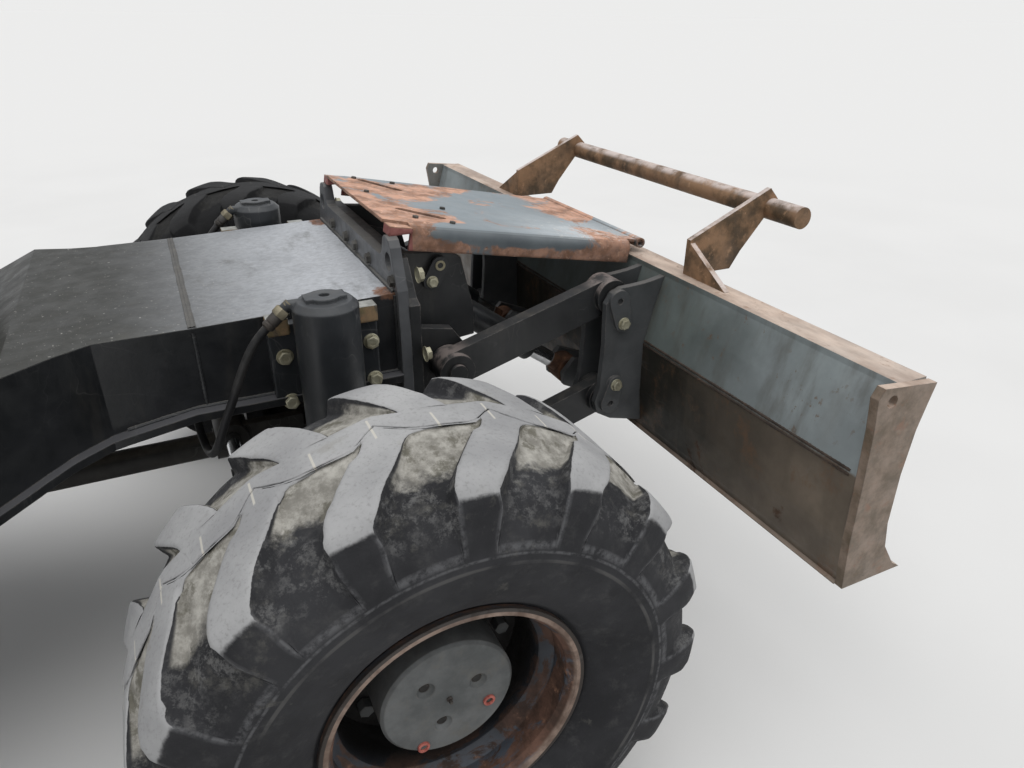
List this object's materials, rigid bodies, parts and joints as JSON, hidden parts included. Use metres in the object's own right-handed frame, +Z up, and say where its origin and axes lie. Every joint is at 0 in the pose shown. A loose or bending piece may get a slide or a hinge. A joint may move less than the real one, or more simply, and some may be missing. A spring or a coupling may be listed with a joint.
{
  "type": "wheeled excavator undercarriage with dozer blade",
  "caption": "Wheeled excavator undercarriage: welded frame, slewing ring, steered swinging front axle, rigid rear axle, wide tyres and a dozer blade on parallel arms with a bucket rest.",
  "frame": {"origin": "on the ground below the middle of the overall length and width", "axes": "+X forwards to the blade, +Y to the machine's left, +Z up along the slewing axis"},
  "size_m": [4.424, 2.55, 1.29],
  "materials": {
    "frame_black": "gloss paint, scuffed",
    "ring_steel": "machined, greased",
    "axle_grey": "satin paint, dusty",
    "hose_rubber": "matt",
    "rod_chrome": "polished",
    "blade_paint": "worn paint with rust",
    "rusty_steel": "rusty",
    "cover_paint": "worn paint with rust",
    "tyre_rubber": "worn",
    "rim_rust": "rusty paint",
    "hub_grey": "satin paint"
  },
  "bodies": {
    "chassis": {"frame_main": "frame_black", "front_flange": "frame_black", "rear_flange": "frame_black", "blade_bracket": "frame_black", "slew_ring_inner": "ring_steel", "rotary_joint": "frame_black", "rear_axle": "axle_grey", "travel_gearbox": "axle_grey", "prop_shaft": "axle_grey", "step_left": "frame_black", "step_right": "frame_black", "osc_cylinders": "frame_black", "osc_hoses": "hose_rubber"},
    "slew_body": {"slew_ring_outer": "ring_steel"},
    "axle_body": {"front_axle": "axle_grey", "steering_cylinder": "axle_grey"},
    "osc_left": {"osc_rod_left": "rod_chrome"},
    "osc_right": {"osc_rod_right": "rod_chrome"},
    "steer_bar": {"steer_rod": "rod_chrome"},
    "tie_left": {"tie_rod_left": "axle_grey"},
    "tie_right": {"tie_rod_right": "axle_grey"},
    "knuckle_l": {"knuckle_left": "axle_grey"},
    "knuckle_r": {"knuckle_right": "axle_grey"},
    "lower_arms": {"lower_links": "frame_black"},
    "upper_arms": {"upper_links": "frame_black"},
    "blade": {"blade_board": "blade_paint", "cutting_edge": "rusty_steel", "blade_ribs": "frame_black", "bucket_rest": "rusty_steel"},
    "cover": {"cover_plate": "cover_paint"},
    "barrels": {"lift_barrels": "frame_black"},
    "rods": {"lift_rods": "rod_chrome"},
    "wheel_fl": {"tyre_front_left": "tyre_rubber", "rim_front_left": "rim_rust", "hub_front_left": "hub_grey"},
    "wheel_fr": {"tyre_front_right": "tyre_rubber", "rim_front_right": "rim_rust", "hub_front_right": "hub_grey"},
    "wheel_rl": {"tyre_rear_left": "tyre_rubber", "rim_rear_left": "rim_rust", "hub_rear_left": "hub_grey"},
    "wheel_rr": {"tyre_rear_right": "tyre_rubber", "rim_rear_right": "rim_rust", "hub_rear_right": "hub_grey"}
  },
  "joints": [
    {"name": "slew", "type": "hinge", "parent": "chassis", "child": "slew_body", "pos_m": [-0.462, 0, 1.12], "axis": [0, 0, 1], "continuous": true},
    {"name": "axle_swing", "type": "hinge", "parent": "chassis", "child": "axle_body", "pos_m": [0.938, 0, 0.55], "axis": [1, 0, 0], "range_deg": [-8, 8]},
    {"name": "osc_slide_left", "type": "slide", "parent": "chassis", "child": "osc_left", "axis": [0, 0, 1], "range_m": [-0.0705, 0.0705]},
    {"name": "osc_slide_right", "type": "slide", "parent": "chassis", "child": "osc_right", "axis": [0, 0, 1], "range_m": [-0.0705, 0.0705]},
    {"name": "steer", "type": "hinge", "parent": "axle_body", "child": "knuckle_l", "pos_m": [0.938, 0.895, 0.55], "axis": [0, 0, 1], "range_deg": [-25, 25]},
    {"name": "steer_right", "type": "hinge", "parent": "axle_body", "child": "knuckle_r", "pos_m": [0.938, -0.895, 0.55], "axis": [0, 0, 1], "range_deg": [-25, 25]},
    {"name": "steer_slide", "type": "slide", "parent": "axle_body", "child": "steer_bar", "axis": [0, 1, 0], "range_m": [-0.11, 0.11]},
    {"name": "tie_left_turn", "type": "hinge", "parent": "steer_bar", "child": "tie_left", "pos_m": [0.682, 0.43, 0.668], "axis": [0, 0, 1], "range_deg": [-9, 9]},
    {"name": "tie_right_turn", "type": "hinge", "parent": "steer_bar", "child": "tie_right", "pos_m": [0.682, -0.43, 0.668], "axis": [0, 0, 1], "range_deg": [-9, 9]},
    {"name": "blade_lift", "type": "hinge", "parent": "chassis", "child": "lower_arms", "pos_m": [1.242, 0, 0.549], "axis": [0, 1, 0], "range_deg": [0, 76.5]},
    {"name": "upper_arm_swing", "type": "hinge", "parent": "chassis", "child": "upper_arms", "pos_m": [1.248, 0, 0.868], "axis": [0, 1, 0], "range_deg": [0, 76.5]},
    {"name": "blade_level", "type": "hinge", "parent": "lower_arms", "child": "blade", "pos_m": [1.715, 0, 0.689], "axis": [0, 1, 0], "range_deg": [-76.5, 0]},
    {"name": "cover_hinge", "type": "hinge", "parent": "blade", "child": "cover", "pos_m": [1.913, 0, 1.101], "axis": [0, 1, 0], "range_deg": [0, 60]},
    {"name": "lift_swing", "type": "hinge", "parent": "chassis", "child": "barrels", "pos_m": [1.228, 0, 1.04], "axis": [0, 1, 0], "range_deg": [0, 38.5]},
    {"name": "lift_slide", "type": "slide", "parent": "barrels", "child": "rods", "axis": [0.8112, 0, -0.5847], "range_m": [0, 0.355]},
    {"name": "wheel_turn_fl", "type": "hinge", "parent": "knuckle_l", "child": "wheel_fl", "pos_m": [0.938, 1.035, 0.55], "axis": [0, 1, 0], "continuous": true},
    {"name": "wheel_turn_fr", "type": "hinge", "parent": "knuckle_r", "child": "wheel_fr", "pos_m": [0.938, -1.035, 0.55], "axis": [0, 1, 0], "continuous": true},
    {"name": "wheel_turn_rl", "type": "hinge", "parent": "chassis", "child": "wheel_rl", "pos_m": [-1.662, 1.035, 0.55], "axis": [0, 1, 0], "continuous": true},
    {"name": "wheel_turn_rr", "type": "hinge", "parent": "chassis", "child": "wheel_rr", "pos_m": [-1.662, -1.035, 0.55], "axis": [0, 1, 0], "continuous": true}
  ],
  "couplings": [
    {"joint": "osc_slide_left", "follows": "axle_swing", "m_per_rad": 0.5},
    {"joint": "osc_slide_right", "follows": "axle_swing", "m_per_rad": -0.5},
    {"joint": "steer_right", "follows": "steer", "ratio": 1},
    {"joint": "steer_slide", "follows": "steer", "m_per_rad": -0.248},
    {"joint": "tie_left_turn", "follows": "steer", "ratio": -0.301},
    {"joint": "tie_right_turn", "follows": "steer", "ratio": -0.301},
    {"joint": "upper_arm_swing", "follows": "blade_lift", "ratio": 1},
    {"joint": "blade_level", "follows": "blade_lift", "ratio": -1},
    {"joint": "cover_hinge", "follows": "blade_lift", "ratio": 0.78},
    {"joint": "lift_swing", "follows": "blade_lift", "ratio": 0.5017},
    {"joint": "lift_slide", "follows": "blade_lift", "m_per_rad": 0.2653}
  ]
}
